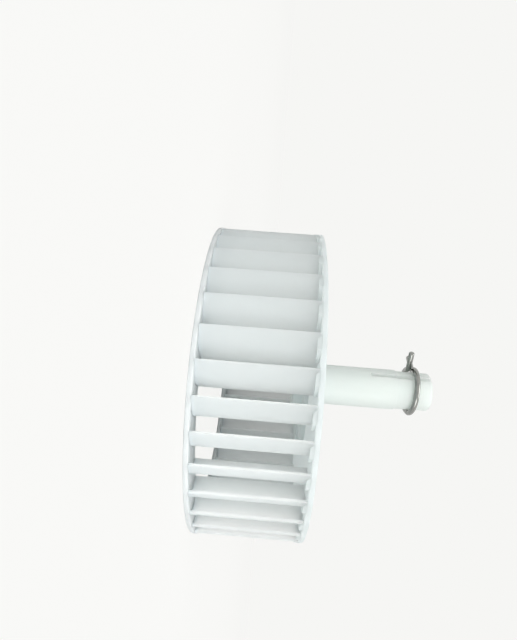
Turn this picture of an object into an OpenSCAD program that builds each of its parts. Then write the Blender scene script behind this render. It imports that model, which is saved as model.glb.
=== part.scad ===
// Blower wheel of a clothes dryer: a ring of forward-curved blades, a back
// plate with a long split sleeve for the motor shaft, and the spring clamp
// that squeezes the sleeve onto the shaft.
// It stands on its inlet ring, with the origin at the ring's centre on the
// surface, +Z along the shaft axis and +Y the side that the eye looks from.

/* [Wheel] */
// Outside diameter of the wheel
wheel_d = 196; // [180:1:240]
// Height from the inlet ring's face to the back plate's outer face
wheel_h = 65; // [45:1:90]

/* [Inlet ring] */
// Radial width of the inlet ring
ring_w = 20.2; // [18:0.1:26]
// Thickness of the inlet ring
ring_t = 2.7; // [1.8:0.1:5]
// Rounding of the ring's edges, on the side that the air comes from
ring_round = 0.8; // [0.3:0.1:1.2]

/* [Blades] */
// Number of blades
blade_count = 35; // [24:1:38]
// Angle of the first blade's tip, counted from +X
first_blade = 6.8; // [0:0.1:15]
// Radial depth of a blade, from its tip to its inner edge
blade_depth = 19.6; // [15:0.1:20]
// Thickness of a blade
blade_t = 1.6; // [1.2:0.1:2.4]
// Radius of the mid-line of a blade's curved outer part
blade_r = 13.2; // [12:0.1:16]
// Angle between the blade and the radius at its tip
tip_angle = 80; // [65:1:85]
// Angle between the blade's straight inner part and that same radius
root_angle = 3; // [0:1:12]
// Distance of the blade tips inside the wheel's outside diameter
tip_inset = 0.2; // [0.2:0.1:1]

/* [Back plate] */
// Thickness of the back plate's rim
rim_t = 2.9; // [2.4:0.1:6]
// Radial width of the thick rim band
rim_w = 9; // [6:0.5:20]
// Depth of the shallow dish in the plate's outer face, inside the rim band
dish_depth = 0.8; // [0.4:0.1:1.4]
// Rounding of the rim's edges
rim_round = 0.6; // [0.2:0.1:1]

/* [Blade sockets] */
// Height of the lug beside each blade's welded end
lug_h = 1.8; // [1:0.1:4]
// Thickness of a lug
lug_t = 1.4; // [1:0.1:2.5]
// Clearance between a lug and its blade
lug_gap = 0.2; // [0.1:0.05:0.5]
// Distance along the blade from its tip to the near end of its lug
lug_start = 1.2; // [1:0.1:6]
// Length of a lug along the blade's back
lug_len = 11; // [5:0.5:13]
// Angle of the slope at a lug's near end, between the slope and the plate
lug_slope = 45; // [30:1:70]

/* [Hub] */
// Diameter of the boss on the plate's inner face
boss_d = 38; // [32:1:60]
// Height of the boss above the plate's inner face
boss_h = 8; // [4:0.5:20]
// Radius of the stiffening rib that runs round the inner face
round_rib_r = 44; // [36:1:60]
// Height of the inner ribs
rib_h = 3.2; // [1.5:0.1:6]
// Thickness of the ribs and gussets
rib_t = 2.2; // [1.4:0.1:4]
// Number of radial ribs, and of gussets under the sleeve
rib_count = 8; // [4:1:12]
// Height of the gussets at the foot of the sleeve
gusset_h = 7; // [3:0.5:20]
// Radius at which the gussets run out
gusset_r = 46; // [30:1:60]

/* [Sleeve] */
// Outside diameter of the sleeve
sleeve_d = 26.1; // [22:0.1:31]
// Length of the sleeve from the plate's outer face to its tip
sleeve_len = 79.4; // [50:0.1:110]
// Depth of the step down to the sleeve's tip section, on the radius
tip_step = 0.7; // [0.2:0.1:1.5]
// Length of the reduced tip section
tip_len = 22.9; // [16:0.1:35]
// Rounding of the tip's outer edge
tip_round = 2; // [0.5:0.1:3]
// Fillet at the foot of the sleeve
foot_fillet = 2.5; // [1:0.1:4]
// Diameter of the bore for the motor shaft
bore_d = 12.7; // [8:0.1:16]
// Width of the two slots in the sleeve's tip
slot_w = 2.6; // [1.5:0.1:5]
// Length of the slots from the tip
slot_len = 40; // [20:1:45]
// Angle of the first slot above the side that the eye looks from
slot_angle = 49; // [0:1:180]
// Chamfer at both mouths of the bore
bore_chamfer = 0.6; // [0.2:0.1:1.5]

/* [Spring clamp] */
// Diameter of the clamp's wire
wire_d = 3.6; // [2:0.1:5]
// Clearance between the clamp and the sleeve's tip section
clamp_gap = 0.2; // [0.1:0.05:0.4]
// Distance from the sleeve's tip to the middle of the clamp
clamp_inset = 12; // [8:0.5:16]
// Clearance between the wire's two ends where they pass each other
wire_gap = 0.2; // [0.1:0.05:1]
// Angle by which each end of the wire runs on past the other
wire_lap = 4; // [0:1:20]
// Radius of the bend from the ring into a tang
bend_r = 4; // [3:0.1:8]
// Angle that a tang is bent outwards through
tang_angle = 50; // [30:1:80]
// Length of a tang's straight part
tang_len = 12; // [6:0.5:20]
// Direction in which the tangs point, measured as the slot's angle is
clamp_angle = 100; // [0:1:359]

/* [Hidden] */
$fn = 96;
// Overlap that fuses two solids of one moulding
fuse = 0.5;
// Extra reach of a cutter beyond the face that it cuts
reach = 1;

wheel_r = wheel_d / 2;
plate_z = wheel_h - rim_t;
blade_tip_r = wheel_r - tip_inset;
blade_root_r = blade_tip_r - blade_depth;
sleeve_r = sleeve_d / 2;
tube_tip_r = sleeve_r - tip_step;
bore_r = bore_d / 2;
clamp_r = tube_tip_r + clamp_gap + wire_d / 2;
sleeve_top = wheel_h + sleeve_len;
blade_angles = [for (i = [0 : blade_count - 1]) first_blade + i * 360 / blade_count];

// The blade's mid-line is an arc from its tip inwards, and then a straight. The
// arc's centre follows from the tip. The straight starts where the arc ends, at
// bend_x and bend_y, and runs on until it meets the radius of the inner edge.
arc_x = blade_tip_r - blade_t / 2 - blade_r * sin(tip_angle);
arc_y = -blade_r * cos(tip_angle);
arc_start = 90 - tip_angle;
arc_turn = tip_angle - root_angle;
bend_x = arc_x + blade_r * sin(root_angle);
bend_y = arc_y + blade_r * cos(root_angle);
inwards = bend_x * cos(root_angle) - bend_y * sin(root_angle);
straight_len = inwards
    - sqrt(pow(inwards, 2) - pow(bend_x, 2) - pow(bend_y, 2) + pow(blade_root_r, 2));

// Sector of a tube round the blade's arc centre, from one angle on by another
module arc_wall(r_in, r_out, from, by, h) {
    translate([arc_x, arc_y, 0]) rotate([0, 0, from])
        rotate_extrude(angle = by)
            translate([r_in, 0]) square([r_out - r_in, h]);
}

// One blade, with its tip on +X, from the inlet ring up to the back plate. The
// arc and the straight meet face to face on the line where the bend ends.
module blade() {
    foot_z = ring_t - fuse;
    h = plate_z - foot_z;
    inner_r = blade_r - blade_t / 2;
    translate([arc_x, arc_y, foot_z]) rotate([0, 0, arc_start + arc_turn]) mirror([0, 1, 0]) {
        rotate_extrude(angle = arc_turn) translate([inner_r, 0]) square([blade_t, h]);
        translate([inner_r, -straight_len, 0]) cube([blade_t, straight_len, h]);
    }
}

// The inlet ring, with rounded edges where the air comes in
module inlet_ring() {
    inner_r = wheel_r - ring_w;
    rotate_extrude() {
        translate([inner_r, ring_round]) square([ring_w, ring_t - ring_round]);
        translate([inner_r + ring_round, 0]) square([ring_w - 2 * ring_round, ring_t]);
        for (r = [inner_r + ring_round, wheel_r - ring_round])
            translate([r, ring_round]) circle(r = ring_round);
    }
}

module blade_cage() {
    color("#dfe9e8") {
        inlet_ring();
        for (a = blade_angles) rotate([0, 0, a]) blade();
    }
}

// The plate's half section: a rim band with rounded edges, a dished web and a
// foot that runs up into the sleeve, out to its reduced and rounded tip
module plate_section() {
    step_z = sleeve_top - tip_len;
    web_t = rim_t - dish_depth;
    translate([0, plate_z]) square([wheel_r - rim_w, web_t]);
    translate([wheel_r - rim_w - fuse, plate_z]) square([rim_w + fuse - rim_round, rim_t]);
    translate([wheel_r - rim_w, plate_z + rim_round])
        square([rim_w, rim_t - 2 * rim_round]);
    for (z = [plate_z + rim_round, wheel_h - rim_round])
        translate([wheel_r - rim_round, z]) circle(r = rim_round);
    translate([0, plate_z - boss_h]) square([boss_d / 2, boss_h + fuse]);
    translate([0, plate_z]) square([sleeve_r, step_z - plate_z]);
    translate([0, step_z - fuse]) square([tube_tip_r, sleeve_top - tip_round - step_z + fuse]);
    translate([0, sleeve_top - tip_round - fuse])
        square([tube_tip_r - tip_round, tip_round + fuse]);
    translate([tube_tip_r - tip_round, sleeve_top - tip_round]) circle(r = tip_round);
    difference() {
        translate([sleeve_r - fuse, plate_z + web_t - fuse])
            square([foot_fillet + fuse, foot_fillet + fuse]);
        translate([sleeve_r + foot_fillet, plate_z + web_t + foot_fillet])
            circle(r = foot_fillet);
    }
}

// One triangular gusset between the sleeve's foot and the dished web
module gusset() {
    web_top = wheel_h - dish_depth;
    rotate([90, 0, 0]) linear_extrude(height = rib_t, center = true)
        polygon([
            [sleeve_r - fuse, web_top - fuse], [gusset_r, web_top - fuse],
            [gusset_r, web_top], [sleeve_r + rib_t, web_top + gusset_h],
            [sleeve_r - fuse, web_top + gusset_h]
        ]);
}

// The ribs on the inner face: one that runs round, and spokes out to it
module inner_ribs() {
    translate([0, 0, plate_z - rib_h]) {
        difference() {
            cylinder(r = round_rib_r + rib_t / 2, h = rib_h + fuse);
            translate([0, 0, -reach])
                cylinder(r = round_rib_r - rib_t / 2, h = rib_h + fuse + 2 * reach);
        }
        for (i = [0 : rib_count - 1]) rotate([0, 0, i * 360 / rib_count])
            translate([boss_d / 2 - fuse, -rib_t / 2, 0])
                cube([round_rib_r - boss_d / 2 + fuse, rib_t, rib_h + fuse]);
    }
}

// The lug against the back of one blade's end, with a slope at its near end
module blade_lug() {
    r_in = blade_r + blade_t / 2 + lug_gap;
    per_mm = 180 / (PI * blade_r);
    cutter = 2 * (lug_start + lug_h + reach);
    difference() {
        translate([0, 0, plate_z - lug_h])
            arc_wall(r_in, r_in + lug_t, arc_start, (lug_start + lug_len) * per_mm, lug_h + fuse);
        translate([arc_x, arc_y, plate_z]) rotate([0, 0, arc_start + lug_start * per_mm])
            rotate([-lug_slope, 0, 0]) translate([r_in - reach, -cutter, -cutter])
                cube([lug_t + 2 * reach, 2 * cutter, cutter]);
    }
}

module blade_lugs() {
    intersection() {
        for (a = blade_angles) rotate([0, 0, a]) blade_lug();
        cylinder(r = blade_tip_r, h = wheel_h);
    }
}

// The shaft's bore, chamfered at both mouths
module shaft_bore() {
    boss_z = plate_z - boss_h;
    translate([0, 0, boss_z - reach]) cylinder(r = bore_r, h = sleeve_top - boss_z + 2 * reach);
    translate([0, 0, boss_z - reach])
        cylinder(r1 = bore_r + bore_chamfer + reach, r2 = bore_r, h = bore_chamfer + reach);
    translate([0, 0, sleeve_top - bore_chamfer])
        cylinder(r1 = bore_r, r2 = bore_r + bore_chamfer + reach, h = bore_chamfer + reach);
}

// The two slots in one line across the sleeve's tip
module tip_slots() {
    rotate([0, 0, 90 - slot_angle])
        translate([-sleeve_d, -slot_w / 2, sleeve_top - slot_len])
            cube([2 * sleeve_d, slot_w, slot_len + reach]);
}

module back_plate() {
    color("#eaefee") difference() {
        union() {
            rotate_extrude() plate_section();
            for (i = [0 : rib_count - 1]) rotate([0, 0, (i + 0.5) * 360 / rib_count]) gusset();
            inner_ribs();
            blade_lugs();
        }
        shaft_bore();
        tip_slots();
    }
}

// Half of the clamp's wire: a half turn that rises to pass beside the other
// half, a bend outwards and a straight tang to squeeze it open by
module clamp_half() {
    rise = asin((wire_d + wire_gap) / 2 / (2 * clamp_r));
    translate([-clamp_r, 0, 0]) rotate([0, -rise, 0]) translate([clamp_r, 0, 0]) rotate([0, 0, -wire_lap]) {
        rotate_extrude(angle = 180 + wire_lap) translate([clamp_r, 0]) circle(d = wire_d);
        translate([clamp_r + bend_r, 0, 0]) rotate([0, 0, 180]) {
            rotate_extrude(angle = tang_angle) translate([bend_r, 0]) circle(d = wire_d);
            rotate([0, 0, tang_angle]) translate([bend_r, 0, 0]) rotate([-90, 0, 0])
                cylinder(d = wire_d, h = tang_len);
        }
    }
}

// The spring clamp on the sleeve's reduced tip section
module hub_clamp() {
    color("#b9bcbd")
        translate([0, 0, sleeve_top - clamp_inset]) rotate([0, 0, 90 - clamp_angle]) {
            clamp_half();
            rotate([180, 0, 0]) clamp_half();
            // A core across the face where the two half turns meet
            translate([-clamp_r, 0, 0]) rotate([90, 0, 0])
                cylinder(d = wire_d / 2, h = wire_d, center = true);
        }
}

blade_cage();
back_plate();
hub_clamp();
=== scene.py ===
# %% [markdown]
# A dryer's blower wheel is two mouldings of milky white plastic, welded
# together: a cage of curved blades on an inlet ring, and a back plate that
# carries a long split sleeve. A bright wire clamp squeezes the sleeve's tip.
# This lesson models the pieces with the soft edges that moulding gives them,
# dresses them and lights them for a photo.

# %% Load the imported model
import math
import bmesh
import bpy
from mathutils import Matrix, Vector


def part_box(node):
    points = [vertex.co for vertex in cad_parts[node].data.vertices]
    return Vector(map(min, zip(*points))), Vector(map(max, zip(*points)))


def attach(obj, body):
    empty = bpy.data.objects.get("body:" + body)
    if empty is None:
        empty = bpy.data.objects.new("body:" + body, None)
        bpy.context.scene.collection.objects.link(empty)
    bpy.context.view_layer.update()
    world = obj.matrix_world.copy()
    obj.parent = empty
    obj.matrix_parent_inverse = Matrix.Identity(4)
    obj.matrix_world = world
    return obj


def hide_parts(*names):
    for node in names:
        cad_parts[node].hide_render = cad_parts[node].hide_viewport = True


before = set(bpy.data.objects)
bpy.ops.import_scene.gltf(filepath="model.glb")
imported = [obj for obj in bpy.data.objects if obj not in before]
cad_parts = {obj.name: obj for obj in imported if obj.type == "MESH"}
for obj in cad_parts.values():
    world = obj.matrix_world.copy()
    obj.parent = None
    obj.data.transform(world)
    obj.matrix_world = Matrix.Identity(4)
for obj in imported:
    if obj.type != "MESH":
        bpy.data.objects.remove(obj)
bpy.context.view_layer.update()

# %% [markdown]
# All sizes here are in millimetres, as a moulder's drawing has them, and each
# finished mesh is scaled to metres once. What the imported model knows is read
# from its boxes, so that it can't drift from it. The rest repeats the driving
# sizes of the drawing.

# %% Sizes of the wheel
MM = 0.001
cage_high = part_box("blade_cage")[1]
plate_low, plate_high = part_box("back_plate")
wheel_r = plate_high.x / MM
plate_z = cage_high.z / MM
sleeve_top = plate_high.z / MM
boss_z = plate_low.z / MM
print("radius %.1f, plate at %.1f, sleeve up to %.1f mm" % (wheel_r, plate_z, sleeve_top))

# The inlet ring and the blades.
ring_w, ring_t = 20.2, 2.7
blade_count, first_blade = 35, 6.8
blade_depth, blade_t, blade_r = 19.6, 1.6, 13.2
tip_angle, root_angle, tip_inset = 80, 3, 0.2

# The plate with its rim, hub, ribs, gussets and lugs.
rim_t, rim_w, dish_depth = 2.9, 9, 0.8
boss_d, bore_d = 38, 12.7
rib_count, rib_t, rib_h, round_rib_r = 8, 2.2, 3.2, 44
gusset_h, gusset_r = 7, 46
lug_h, lug_t, lug_gap = 1.8, 3, 0.2
lug_start, lug_len, lug_slope = 1.2, 11, 45

# The sleeve and its slots.
sleeve_d, tip_step, tip_len = 26.1, 0.7, 22.9
slot_w, slot_len, slot_angle = 2.6, 40, 49

# The wire clamp.
wire_d, wire_gap, wire_lap = 3.6, 0.2, 4
bend_r, tang_angle, tang_len = 4, 50, 12
clamp_gap, clamp_angle, clamp_inset = 0.2, 100, 12

# %% [markdown]
# Shader maths reads best as plain arithmetic. The class below wraps a socket,
# and each operator on it adds the Math node that does the sum. The other way
# would be to place and link every Math node by hand.

# %% Arithmetic on sockets
class Shade:
    """A socket that can be added, multiplied and raised like a number."""

    def __init__(self, nodes, socket):
        self.nodes = nodes
        self.socket = socket

    def math(self, operation, a, b):
        return self.nodes.add("ShaderNodeMath", {0: a, 1: b}, {"operation": operation})

    def __add__(self, other):
        return self.math("ADD", self, other)

    def __sub__(self, other):
        return self.math("SUBTRACT", self, other)

    def __mul__(self, other):
        return self.math("MULTIPLY", self, other)

    def __truediv__(self, other):
        return self.math("DIVIDE", self, other)

    def __pow__(self, other):
        return self.math("POWER", self, other)

    def __radd__(self, other):
        return self.math("ADD", other, self)

    def __rsub__(self, other):
        return self.math("SUBTRACT", other, self)

    def __rmul__(self, other):
        return self.math("MULTIPLY", other, self)

    def __rtruediv__(self, other):
        return self.math("DIVIDE", other, self)

    def __rpow__(self, other):
        return self.math("POWER", other, self)

    def clip(self):
        """The same number, held between 0 and 1."""
        low = self.math("MAXIMUM", self, 0.0)
        return self.math("MINIMUM", low, 1.0)


print("a socket can be added, subtracted, multiplied, divided, raised and clipped")

# %% [markdown]
# Every other node comes from one method. It sets a node's own settings first,
# because some of them decide which sockets the node has. A socket goes by its
# name, or by its number where a node has several of one name.

# %% Nodes of a material or a world
class Nodes:
    """The node tree of a material or of the world, filled afresh."""

    def __init__(self, owner):
        owner.use_nodes = True
        self.tree = owner.node_tree
        self.tree.nodes.clear()

    def add(self, kind, sockets, settings=None, output=0):
        """Adds a node with the values or the links of its sockets, and returns one of its outputs."""
        made = self.tree.nodes.new(kind)
        for name, value in (settings or {}).items():
            setattr(made, name, value)
        for key, value in sockets.items():
            if isinstance(value, Shade):
                self.tree.links.new(value.socket, made.inputs[key])
            else:
                made.inputs[key].default_value = value
        return Shade(self, made.outputs[output]) if made.outputs else None

    def mix(self, share, first, second):
        """A colour between two."""
        return self.add("ShaderNodeMix", {0: share, 6: first, 7: second}, {"data_type": "RGBA"}, 2)

    def blend(self, share, first, second):
        """Two shaders in one, with a share of the second."""
        return self.add("ShaderNodeMixShader", {0: share, 1: first, 2: second})

    def axis(self, vector, letter):
        """One coordinate of a vector."""
        return self.add("ShaderNodeSeparateXYZ", {"Vector": vector}, output=letter)

    def ray(self, kind):
        """1 for a ray of this kind, such as Camera, and otherwise 0."""
        return self.add("ShaderNodeLightPath", {}, output="Is %s Ray" % kind)


def srgb(red, green, blue):
    """A colour as a screen shows it, from 0 to 255, made linear."""
    def linear(value):
        value = value / 255
        return value / 12.92 if value <= 0.04045 else ((value + 0.055) / 1.055) ** 2.4
    return (linear(red), linear(green), linear(blue), 1.0)


print("screen grey 128 is %.3f in linear light" % srgb(128, 128, 128)[0])

# %% [markdown]
# The wheel's plastic is natural polypropylene: milky, a little blue, and soft
# to the eye, because light goes some way in and part of it comes out behind.
# A glass shader would be far too clear. Subsurface scattering gives the
# softness, and a share of translucency lets the thin blades pass light on,
# which is why the inside of the cage isn't dark.
#
# A stout wall, as in the ring and the sleeve, passes less light. The two
# functions below say where that is, from the place on the piece. A material
# for each thickness could do the same, but would meet the next in a hard line.

# %% Where a wall is stout
ring_fade, sleeve_fade = 2, 4


def ring_is_stout(nodes, place):
    """1 in the inlet ring, fading out just above it."""
    above = nodes.axis(place, "Z") - ring_t * MM
    return 1 - (above / (ring_fade * MM)).clip()


def sleeve_is_stout(nodes, place):
    """1 in the sleeve and in what lies below it, fading out just round it."""
    x, y = nodes.axis(place, "X"), nodes.axis(place, "Y")
    outside = (x * x + y * y) ** 0.5 - sleeve_d / 2 * MM
    return 1 - (outside / (sleeve_fade * MM)).clip()


print("stout: the lowest %.1f mm, and %.2f mm round the axis" % (ring_t, sleeve_d / 2))

# %% [markdown]
# Both mouldings are finished by one function, because they differ only in tone,
# gloss and the light that they pass. Slow noise makes the tone and the gloss
# cloudy, as in a large moulding, and fine noise gives the skin its grain.

# %% Milky plastic
def milky_plastic(name, thin, thick, roughness, passing, stout_passing, is_stout):
    material = bpy.data.materials.new(name)
    nodes = Nodes(material)
    place = nodes.add("ShaderNodeTexCoord", {}, output="Object")
    stout = is_stout(nodes, place)
    clouds = nodes.add(
        "ShaderNodeTexNoise", {"Vector": place, "Scale": 34.0, "Detail": 3.0, "Roughness": 0.55}
    )
    grain = nodes.add(
        "ShaderNodeTexNoise", {"Vector": place, "Scale": 900.0, "Detail": 2.0, "Roughness": 0.6}
    )
    bump = nodes.add("ShaderNodeBump", {"Strength": 0.05, "Distance": 0.0003, "Height": grain})
    solid = nodes.add("ShaderNodeBsdfPrincipled", {
        "Base Color": nodes.mix((clouds * 0.5 + stout * 0.6).clip(), thin, thick),
        "Roughness": (clouds - 0.5) * 0.10 + roughness,
        "IOR": 1.49,
        "Subsurface Weight": 0.8,
        "Subsurface Radius": (1.0, 1.0, 1.0),
        "Subsurface Scale": 0.004,
        "Normal": bump,
    })
    through = nodes.add("ShaderNodeBsdfTranslucent", {"Color": passed_tone, "Normal": bump})
    share = passing - stout * (passing - stout_passing)
    nodes.add("ShaderNodeOutputMaterial", {"Surface": nodes.blend(share, solid, through)})
    return material


passed_tone = srgb(255, 254, 253)
cage_plastic = milky_plastic(
    "cage_plastic", thin=srgb(236, 248, 252), thick=srgb(239, 248, 251),
    roughness=0.42, passing=0.75, stout_passing=0.28, is_stout=ring_is_stout,
)
plate_plastic = milky_plastic(
    "plate_plastic", thin=srgb(227, 241, 244), thick=srgb(237, 243, 238),
    roughness=0.38, passing=0.47, stout_passing=0.42, is_stout=sleeve_is_stout,
)
print("plastics:", cage_plastic.name, plate_plastic.name)

# %% [markdown]
# The clamp is bent from hard-drawn spring wire. It is bright and hardly worn,
# so the metal's roughness is low. Fine noise makes both the tone and the gloss
# slightly uneven, as drawing leaves them.

# %% Spring steel
def spring_steel():
    material = bpy.data.materials.new("spring_steel")
    nodes = Nodes(material)
    place = nodes.add("ShaderNodeTexCoord", {}, output="Object")
    marks = nodes.add("ShaderNodeTexNoise", {"Vector": place, "Scale": 420.0, "Detail": 2.0})
    metal = nodes.add("ShaderNodeBsdfPrincipled", {
        "Base Color": nodes.mix(marks, srgb(130, 132, 129), srgb(176, 177, 173)),
        "Metallic": 1.0,
        "Roughness": marks * 0.12 + 0.06,
    })
    nodes.add("ShaderNodeOutputMaterial", {"Surface": metal})
    return material


steel = spring_steel()
print("metal:", steel.name)

# %% [markdown]
# Every piece of the wheel is a sweep of some outline round some axis: the
# wheel's own, a blade's, or a bend's. The spin operator does that, so these
# helpers wrap it. An outline's corners are rounded by bevelling its vertices
# before it is swept, which is how a moulded edge gets its radius. A Bevel
# modifier on the swept shape would need many more faces for the same edge.

# %% Sweeping
UP = Vector((0, 0, 1))
ORIGIN = Vector((0, 0, 0))
TINY = 0.0001
STEPS_AROUND = 180


def rounded(mesh, verts, radius, segments):
    """Rounds corners of a flat outline."""
    bmesh.ops.bevel(
        mesh, geom=list(verts), offset=radius, segments=segments,
        profile=0.5, affect="VERTICES", material=-1,
    )


def spun(mesh, geom, centre, degrees, steps, closed=False):
    """Sweeps vertices or edges round a centre and returns their far end."""
    made = bmesh.ops.spin(
        mesh, geom=geom, cent=centre, axis=UP, angle=math.radians(degrees),
        steps=steps, use_merge=closed,
    )
    return made["geom_last"]


def turned(mesh, corners):
    """Sweeps a closed outline round the wheel. A corner is its radius, height and rounding."""
    verts = [mesh.verts.new((radius, 0, height)) for radius, height, rounding in corners]
    mesh.faces.new(verts)
    for vert, (radius, height, rounding) in zip(verts, corners):
        if rounding:
            rounded(mesh, [vert], rounding, 4)
    outline = [face for face in mesh.faces if len(face.edges) >= len(corners)][-1]
    edges = list(outline.edges)
    bmesh.ops.delete(mesh, geom=[outline], context="FACES_ONLY")
    spun(mesh, edges, ORIGIN, 360, STEPS_AROUND, closed=True)


def stacked(mesh, outlines):
    """Joins outlines that lie above each other into one closed shell."""
    for lower, upper in zip(outlines, outlines[1:]):
        bmesh.ops.bridge_loops(mesh, edges=lower + upper)
    for ends in (outlines[0], outlines[-1]):
        bmesh.ops.contextual_create(mesh, geom=ends)


def polar(centre, radius, degrees):
    """The point at a distance and in a direction from a centre, seen from above."""
    angle = math.radians(degrees)
    return centre + Vector((math.cos(angle), math.sin(angle), 0)) * radius


print("a full sweep takes", STEPS_AROUND, "steps")

# %% [markdown]
# Blades, lugs, ribs and gussets repeat round the wheel. One is modelled, and
# turned copies of it are added to the whole, so that a moulding stays a single
# mesh. An Array modifier would do for the render, but the real mesh is wanted
# in the export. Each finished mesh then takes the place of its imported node.

# %% Copies and finished pieces
def round_the_wheel(whole, single, count, first):
    """Adds turned copies of a mesh to another, evenly round the wheel."""
    data = bpy.data.meshes.new("single")
    for degrees in [first] + [360 / count] * (count - 1):
        turn = Matrix.Rotation(math.radians(degrees), 3, "Z")
        bmesh.ops.rotate(single, verts=single.verts, cent=ORIGIN, matrix=turn)
        single.to_mesh(data)
        whole.from_mesh(data)
    bpy.data.meshes.remove(data)
    single.free()


def finished(name, mesh, material, node):
    """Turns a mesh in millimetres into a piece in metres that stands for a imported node."""
    bmesh.ops.remove_doubles(mesh, verts=mesh.verts, dist=5 * TINY)
    bmesh.ops.recalc_face_normals(mesh, faces=mesh.faces)
    bmesh.ops.scale(mesh, vec=(MM, MM, MM), verts=mesh.verts)
    data = bpy.data.meshes.new(name)
    mesh.to_mesh(data)
    mesh.free()
    data.shade_smooth()
    data.set_sharp_from_angle(angle=math.radians(40))
    data.materials.append(material)
    piece = bpy.data.objects.new(name, data)
    bpy.context.scene.collection.objects.link(piece)
    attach(piece, "root")
    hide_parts(node)
    print(name, "faces:", len(data.polygons))


print("blades are", round(360 / blade_count, 2), "degrees apart")

# %% [markdown]
# The cage is one moulding. Each blade is an arc from its tip inwards and then a
# straight, which points nearly at the axis. The arc's centre follows from the
# tip, and the straight ends where it meets the radius of the inner edge.

# %% Where a blade's arc and straight lie
half_t = blade_t / 2
tip_r = wheel_r - tip_inset - half_t
root_r = wheel_r - tip_inset - blade_depth
lean_out, lean_in = math.radians(tip_angle), math.radians(root_angle)
to_centre = Vector((-math.sin(lean_out), -math.cos(lean_out), 0))
arc_centre = Vector((tip_r, 0, 0)) + to_centre * blade_r
arc_start, arc_turn = 90 - tip_angle, tip_angle - root_angle
bend_end = arc_centre + Vector((math.sin(lean_in), math.cos(lean_in), 0)) * blade_r
inwards = Vector((-math.cos(lean_in), math.sin(lean_in), 0))
nearest = -bend_end.dot(inwards)
straight = inwards * (nearest - math.sqrt(nearest**2 - bend_end.length_squared + root_r**2))
print("arc centre at %.2f, %.2f, straight %.2f mm" % (arc_centre.x, arc_centre.y, straight.length))

# %% [markdown]
# A blade could be one outline raised in a single step. Here it is a stack of
# outlines, because it flares a little where it grows out of the ring, and
# again at its top, where welding has pressed out a thin bead. An outline is
# walked round with spins and straight steps, and then its four corners are
# bevelled: hardly at the tip, and more at the inner edge.

# %% The cage of blades
fuse = 0.5
flare = 0.2
bead_grow, bead_h, bead_start = 0.15, 0.3, 0.5
tip_round, root_round = 0.25, 0.6


def walked(mesh, height, grow):
    """The outline of a blade at one height, as a face, with its corners at the tip and inside."""
    outer, inner = blade_r + half_t + grow, blade_r - half_t - grow
    middle = arc_centre + UP * height
    steps = 12
    tip_back = mesh.verts.new(polar(middle, outer, arc_start))
    bend_back = spun(mesh, [tip_back], middle, arc_turn, steps)[0]
    tip_front = mesh.verts.new(polar(middle, inner, arc_start))
    bend_front = spun(mesh, [tip_front], middle, arc_turn, steps)[0]
    roots = [mesh.verts.new(bend.co + straight) for bend in (bend_back, bend_front)]
    for pair in ((bend_back, roots[0]), roots, (roots[1], bend_front), (tip_front, tip_back)):
        bmesh.ops.contextual_create(mesh, geom=list(pair))
    level = [edge for edge in mesh.edges if all(abs(v.co.z - height) < TINY for v in edge.verts)]
    bmesh.ops.contextual_create(mesh, geom=level)
    return (tip_back, tip_front), roots


def blade_outline(mesh, height, grow):
    """The rounded outline of a blade at one height, as edges."""
    tips, roots = walked(mesh, height, grow)
    rounded(mesh, tips, tip_round, 3)
    rounded(mesh, roots, root_round, 3)
    face = [f for f in mesh.faces if abs(f.calc_center_median().z - height) < TINY][0]
    edges = list(face.edges)
    bmesh.ops.delete(mesh, geom=[face], context="FACES_ONLY")
    return edges


def blade():
    mesh = bmesh.new()
    levels = [(ring_t - fuse, flare)]
    for degrees in (0, 30, 60, 90):
        angle = math.radians(degrees)
        levels.append((ring_t + flare * (1 - math.cos(angle)), flare * (1 - math.sin(angle))))
    levels += [(plate_z - bead_start, 0), (plate_z - bead_h, bead_grow), (plate_z, bead_grow)]
    stacked(mesh, [blade_outline(mesh, height, grow) for height, grow in levels])
    return mesh


cage = bmesh.new()
turned(cage, [
    (wheel_r - ring_w, 0, 0.8), (wheel_r, 0, 0.8),
    (wheel_r, ring_t, 0.35), (wheel_r - ring_w, ring_t, 0.35),
])
round_the_wheel(cage, blade(), blade_count, first_blade)
finished("cage", cage, cage_plastic, "blade_cage")

# %% [markdown]
# The back plate is one moulding too. Its rim band, shallow dish, boss and
# sleeve are all round, so they are turned from one half section. That gives
# even rows of faces, where joined cylinders would leave seams.

# %% The plate's section
web_top = plate_z + rim_t - dish_depth
wheel_h = plate_z + rim_t
sleeve_r, tube_r, bore_r = sleeve_d / 2, sleeve_d / 2 - tip_step, bore_d / 2
step_z = sleeve_top - tip_len
plate = bmesh.new()
turned(plate, [
    (bore_r, boss_z, 0.6), (boss_d / 2, boss_z, 0.8), (boss_d / 2, plate_z, 0.8),
    (wheel_r, plate_z, 0.6), (wheel_r, wheel_h, 0.6), (wheel_r - rim_w, wheel_h, 0.3),
    (wheel_r - rim_w, web_top, 0.3), (sleeve_r, web_top, 2.5), (sleeve_r, step_z, 0.25),
    (tube_r, step_z, 0.2), (tube_r, sleeve_top, 2), (bore_r, sleeve_top, 0.6),
])
print("plate section swept:", len(plate.faces), "faces")

# %% [markdown]
# Two slots in one line split the sleeve's tip, so that the clamp can close it
# on the shaft. A Boolean could leave scraps on such round walls. Instead, the
# mesh is cut along both sides of the slots and along their low end, what lies
# between goes, and the open walls are closed face by face.

# %% Slots in the sleeve
def only(kind, parts):
    """The vertices, edges or faces among some parts of a mesh."""
    return [part for part in parts if isinstance(part, kind)]


def tube_above(mesh, low):
    """The parts of the sleeve whose faces have their middle above a height."""
    middles = [(face, face.calc_center_median()) for face in mesh.faces]
    faces = [face for face, middle in middles if middle.z > low and middle.xy.length < sleeve_r + 0.1]
    return list({part for face in faces for part in [*face.verts, *face.edges, face]})


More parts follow.
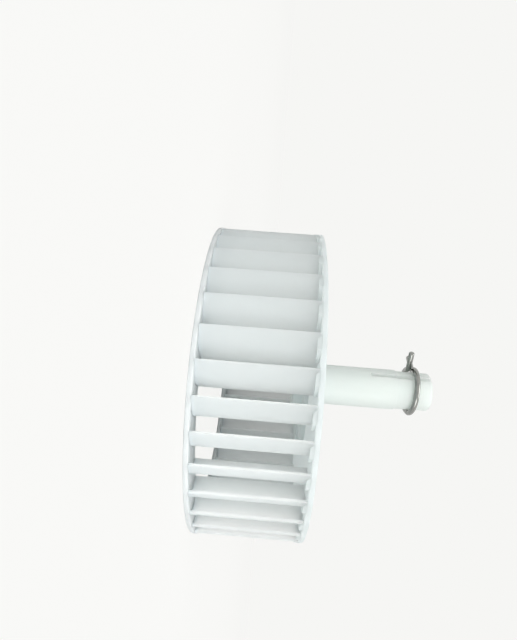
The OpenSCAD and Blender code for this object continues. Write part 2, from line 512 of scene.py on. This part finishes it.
def close_slot(mesh, edges, across, slot_low):
    """Closes one open slot: a wall on each side, and the low end between them."""
    foot = []
    for bank in (slot_w / 2, -slot_w / 2):
        wall = [
            edge for edge in edges
            if all(abs(v.co.dot(across) - bank) < 10 * TINY for v in edge.verts)
        ]
        ends = sorted({v for edge in wall for v in edge.verts}, key=lambda v: v.co.z)[:2]
        base = bmesh.ops.contextual_create(mesh, geom=ends)["edges"]
        bmesh.ops.contextual_create(mesh, geom=wall + base)
        foot += base
    low = [edge for edge in edges if all(abs(v.co.z - slot_low) < 10 * TINY for v in edge.verts)]
    bmesh.ops.contextual_create(mesh, geom=low + foot)


def cut_slots(mesh):
    along = polar(ORIGIN, 1, 90 - slot_angle)
    across = UP.cross(along)
    slot_low = sleeve_top - slot_len
    cuts = [(wheel_h, UP * slot_low, UP)]
    cuts += [(slot_low, across * side * slot_w / 2, across) for side in (1, -1)]
    for low, point, normal in cuts:
        geom = tube_above(mesh, low)
        bmesh.ops.bisect_plane(mesh, geom=geom, dist=TINY, plane_co=point, plane_no=normal)
    between = [
        face for face in only(bmesh.types.BMFace, tube_above(mesh, slot_low))
        if abs(face.calc_center_median().dot(across)) < slot_w / 2
    ]
    bmesh.ops.delete(mesh, geom=between, context="FACES")
    rim = [edge for edge in mesh.edges if edge.is_boundary]
    for side in (1, -1):
        here = [edge for edge in rim if all(v.co.dot(along) * side > 0 for v in edge.verts)]
        close_slot(mesh, here, across, slot_low)


cut_slots(plate)
print("open edges after the slots:", sum(edge.is_boundary for edge in plate.edges))

# %% [markdown]
# Ribs under the plate and gussets round the sleeve's foot stiffen the hub. Each
# is a flat plate with soft edges: an outline, pushed to its thickness, and
# bevelled. They only reach into the plate's surface, so each stays a closed
# shell of its own, which is simpler and safer than a Boolean union.

# %% Ribs and gussets
def bevelled(mesh, radius):
    """Rounds every crease of a mesh."""
    creases = [edge for edge in mesh.edges if edge.is_manifold and edge.calc_face_angle() > 0.6]
    bmesh.ops.bevel(
        mesh, geom=creases, offset=radius, segments=3, profile=0.5, affect="EDGES",
        material=-1, clamp_overlap=True,
    )


def slab(corners, thickness):
    """A plate of even thickness that stands on the plane of the axis."""
    mesh = bmesh.new()
    back = -thickness / 2
    face = mesh.faces.new([mesh.verts.new((radius, back, height)) for radius, height in corners])
    grown = bmesh.ops.extrude_face_region(mesh, geom=[face])["geom"]
    bmesh.ops.translate(mesh, vec=(0, thickness, 0), verts=only(bmesh.types.BMVert, grown))
    bmesh.ops.recalc_face_normals(mesh, faces=mesh.faces)
    bevelled(mesh, 0.4)
    return mesh


gusset = slab([
    (sleeve_r - fuse, web_top - fuse), (gusset_r, web_top - fuse), (gusset_r, web_top),
    (sleeve_r + rib_t, web_top + gusset_h), (sleeve_r - fuse, web_top + gusset_h),
], rib_t)
spoke = slab([
    (boss_d / 2 - fuse, plate_z - rib_h), (round_rib_r, plate_z - rib_h),
    (round_rib_r, plate_z + fuse), (boss_d / 2 - fuse, plate_z + fuse),
], rib_t)
round_rib = bmesh.new()
turned(round_rib, [
    (round_rib_r - rib_t / 2, plate_z - rib_h, 0.4), (round_rib_r + rib_t / 2, plate_z - rib_h, 0.4),
    (round_rib_r + rib_t / 2, plate_z + fuse, 0), (round_rib_r - rib_t / 2, plate_z + fuse, 0),
])
round_the_wheel(plate, gusset, rib_count, 180 / rib_count)
round_the_wheel(plate, spoke, rib_count, 0)
round_the_wheel(plate, round_rib, 1, 0)
print("plate with ribs and gussets:", len(plate.faces), "faces")

# %% [markdown]
# A lug stands on the plate beside the back of each blade and holds it while
# the two mouldings are welded. It is a curved strip that follows the blade,
# with a slope at its near end, and it ends flush with the rim. The strip's
# outline is four spins, and two planes then cut its slope and its rim side.

# %% Lugs beside the blades
def strip_outline(mesh, mid_r, half, start, turn, height):
    """A strip with round ends that follows the blade's arc, swept by four spins."""
    middle = arc_centre + UP * height
    near, far = polar(middle, mid_r, start), polar(middle, mid_r, start + turn)
    arc_steps = max(4, round(turn / 7))
    first = mesh.verts.new(polar(middle, mid_r + half, start))
    walker = first
    sides = ((middle, turn, arc_steps), (far, 180, 6), (middle, -turn, arc_steps), (near, 180, 6))
    for pivot, degrees, steps in sides:
        walker = spun(mesh, [walker], pivot, degrees, steps)[0]
    bmesh.ops.remove_doubles(mesh, verts=[first, walker], dist=100 * TINY)
    level = [vert for vert in mesh.verts if abs(vert.co.z - height) < TINY]
    return list({edge for vert in level for edge in vert.link_edges if edge.other_vert(vert) in level})


def sliced(mesh, point, outward):
    """Cuts off what lies beyond a plane and closes the cut."""
    bmesh.ops.bisect_plane(
        mesh, geom=[*mesh.verts, *mesh.edges, *mesh.faces], dist=TINY,
        plane_co=point, plane_no=outward, clear_outer=True,
    )
    bmesh.ops.contextual_create(mesh, geom=[edge for edge in mesh.edges if edge.is_boundary])


lug_sink, lug_bearing = 0.4, 3


def lug():
    mesh = bmesh.new()
    mid_r = blade_r + half_t + lug_gap + lug_t / 2
    degrees_per_mm = math.degrees(1 / blade_r)
    turn = (lug_start + lug_len) * degrees_per_mm
    stacked(mesh, [
        strip_outline(mesh, mid_r, lug_t / 2, arc_start, turn, height)
        for height in (plate_z - lug_h, plate_z + lug_sink)
    ])
    start = arc_start + lug_start * degrees_per_mm
    lean = Matrix.Rotation(math.radians(-lug_slope), 3, "X")
    slope = Matrix.Rotation(math.radians(start), 3, "Z") @ lean
    sliced(mesh, polar(arc_centre, mid_r, start) + UP * plate_z, slope @ -UP)
    rim_side = polar(ORIGIN, wheel_r - tip_inset, lug_bearing)
    sliced(mesh, rim_side, rim_side)
    bmesh.ops.recalc_face_normals(mesh, faces=mesh.faces)
    bevelled(mesh, 0.3)
    return mesh


round_the_wheel(plate, lug(), blade_count, first_blade)
finished("plate", plate, plate_plastic, "back_plate")

# %% [markdown]
# The clamp is one wire: two half turns, each with a bend outwards and a tang.
# A curve with a round bevel would do for the wire alone. Here one circle is
# swept three ways, as the wire bender would form it, which leaves soft cut
# ends. The second half is the first turned over, so that the tangs cross.

# %% The wire clamp
def clamp_half():
    mesh = bmesh.new()
    clamp_r = tube_r + clamp_gap + wire_d / 2
    upright = Matrix.Translation((clamp_r, 0, 0)) @ Matrix.Rotation(math.radians(90), 4, "X")
    circle = bmesh.ops.create_circle(mesh, segments=24, radius=wire_d / 2, matrix=upright)["verts"]
    start = list({edge for vert in circle for edge in vert.link_edges})
    far = spun(mesh, start, ORIGIN, 180 + wire_lap, 44)
    bend = spun(mesh, start, Vector((clamp_r + bend_r, 0, 0)), tang_angle, 10)
    tip = bmesh.ops.extrude_edge_only(mesh, edges=only(bmesh.types.BMEdge, bend))["geom"]
    reach = polar(ORIGIN, tang_len, tang_angle - 90)
    bmesh.ops.translate(mesh, vec=reach, verts=only(bmesh.types.BMVert, tip))
    for end in (far, tip):
        cut = [edge for edge in only(bmesh.types.BMEdge, end) if edge.is_boundary]
        bmesh.ops.contextual_create(mesh, geom=cut)
    bmesh.ops.recalc_face_normals(mesh, faces=mesh.faces)
    bevelled(mesh, 0.8)
    back = Matrix.Rotation(math.radians(-wire_lap), 3, "Z")
    rise = math.asin((wire_d + wire_gap) / 2 / (2 * clamp_r))
    bmesh.ops.rotate(mesh, verts=mesh.verts, cent=ORIGIN, matrix=back)
    bmesh.ops.rotate(
        mesh, verts=mesh.verts, cent=Vector((-clamp_r, 0, 0)), matrix=Matrix.Rotation(-rise, 3, "Y")
    )
    return mesh


clamp = clamp_half()
other = clamp_half()
bmesh.ops.rotate(other, verts=other.verts, cent=ORIGIN, matrix=Matrix.Rotation(math.pi, 3, "X"))
round_the_wheel(clamp, other, 1, 0)
facing = Matrix.Rotation(math.radians(90 - clamp_angle), 3, "Z")
bmesh.ops.rotate(clamp, verts=clamp.verts, cent=ORIGIN, matrix=facing)
bmesh.ops.translate(clamp, verts=clamp.verts, vec=(0, 0, sleeve_top - clamp_inset))
finished("clamp", clamp, steel, "hub_clamp")

# %% [markdown]
# The photo is taken from close by, with the wheel's axis across the picture.
# A camera aimed by eye would put the blades beside their places. This one was
# fitted to the two rims and the blade lines, and stands 320 mm from the axis.
# Its focal length is in pixels, against the picture's height. It is rolled, so
# that the axis slopes in the picture.

# %% Camera
photo_h = 640
focal_px = 474.7
sensor = 36.0
eye = Vector((39.4, 319.9, 38.4)) * MM
dip, roll = math.radians(1.79), math.radians(4.43)
ahead = Vector((0, -math.cos(dip), -math.sin(dip)))
level_right = Vector((0, -math.sin(dip), math.cos(dip)))
level_up = Vector((1, 0, 0))
right = math.cos(roll) * level_right + math.sin(roll) * level_up
up = math.cos(roll) * level_up - math.sin(roll) * level_right

lens = bpy.data.cameras.new("camera")
lens.sensor_width = sensor
lens.lens = focal_px / photo_h * sensor
lens.clip_start = 0.01
lens.clip_end = 50
camera = bpy.data.objects.new("camera", lens)
bpy.context.scene.collection.objects.link(camera)
camera.matrix_world = Matrix.Translation(eye) @ Matrix((right, up, -ahead)).transposed().to_4x4()
bpy.context.scene.camera = camera
print("lens %.2f mm, right %s" % (lens.lens, tuple(round(v, 3) for v in right)))

# %% [markdown]
# The background is one pale tone, and none of it may come from more light on
# the wheel. A brighter lamp would whiten the floor, but the plastic too. So
# the camera sees most of the floor as a set tone, and the rest as an ordinary
# matt surface, which keeps the wheel's shadow. Every other ray, a reflected
# one too, meets the matt surface alone.

# %% Floor
set_share = 0.9


def floor_finish():
    material = bpy.data.materials.new("pale_floor")
    nodes = Nodes(material)
    matt = nodes.add("ShaderNodeBsdfDiffuse", {"Color": srgb(244, 244, 242)})
    plain = nodes.add("ShaderNodeEmission", {"Color": srgb(250, 250, 248), "Strength": 1.0})
    surface = nodes.blend(nodes.ray("Camera") * set_share, matt, plain)
    nodes.add("ShaderNodeOutputMaterial", {"Surface": surface})
    return material


floor_mesh = bmesh.new()
bmesh.ops.create_grid(floor_mesh, x_segments=1, y_segments=1, size=6.0)
floor_data = bpy.data.meshes.new("floor")
floor_mesh.to_mesh(floor_data)
floor_mesh.free()
floor_data.materials.append(floor_finish())
floor = bpy.data.objects.new("floor", floor_data)
bpy.context.scene.collection.objects.link(floor)
print("floor: %.0f m wide" % floor.dimensions.x)

# %% [markdown]
# The world shows the pale tone to the camera and in reflections. What it gives
# as light is a different strength: little all round, and most from the
# camera's side, as from a wide white wall there. A ray that plastic passes on
# and scatters counts as light too, or the bright background would make the
# milky walls glow.

# %% World
world = bpy.data.worlds.new("studio")
bpy.context.scene.world = world
air = Nodes(world)
scattered = air.ray("Diffuse")
seen = (air.ray("Camera") + air.ray("Glossy") + air.ray("Transmission") * (1 - scattered)).clip()
direction = air.add("ShaderNodeTexCoord", {}, output="Generated")
from_camera_side = air.axis(direction, "Y").clip()
white = (1.0, 1.0, 1.0, 1.0)
wall_light, all_round = 1.95, 0.2
strength = from_camera_side * wall_light + all_round
light = air.add("ShaderNodeBackground", {"Color": white, "Strength": strength})
shown = air.add("ShaderNodeBackground", {"Color": srgb(246, 246, 244), "Strength": 1.0})
air.add("ShaderNodeOutputWorld", {"Surface": air.blend(seen, light, shown)})
print("world nodes:", len(air.tree.nodes))

# %% [markdown]
# Two lamps model the form. Point lamps would draw hard shadows between the
# blades, so both are large soft discs. The key stands behind the camera, on
# the side of the picture's lower edge, because the sleeve is darkest along its
# upper side. The other shines on the plate from the sleeve's side, and past
# the rim onto the face of the ring that the blades grow from.

# %% Lamps
def soft_lamp(name, place, watts):
    data = bpy.data.lights.new(name, "AREA")
    data.shape = "DISK"
    data.size = 1.2
    data.energy = watts
    lamp = bpy.data.objects.new(name, data)
    lamp.location = place
    lamp.rotation_mode = "QUATERNION"
    wheel_middle = Vector((0, 0, 0.05))
    lamp.rotation_quaternion = (wheel_middle - Vector(place)).to_track_quat("-Z", "Y")
    bpy.context.scene.collection.objects.link(lamp)
    print("lamp", name, "at", place, "with", watts, "watts")


soft_lamp("key", (-1.1, 1.1, 0.1), 8.5)
soft_lamp("top", (0.0, 0.4, 1.6), 8.0)
bpy.context.scene.view_settings.view_transform = "Standard"
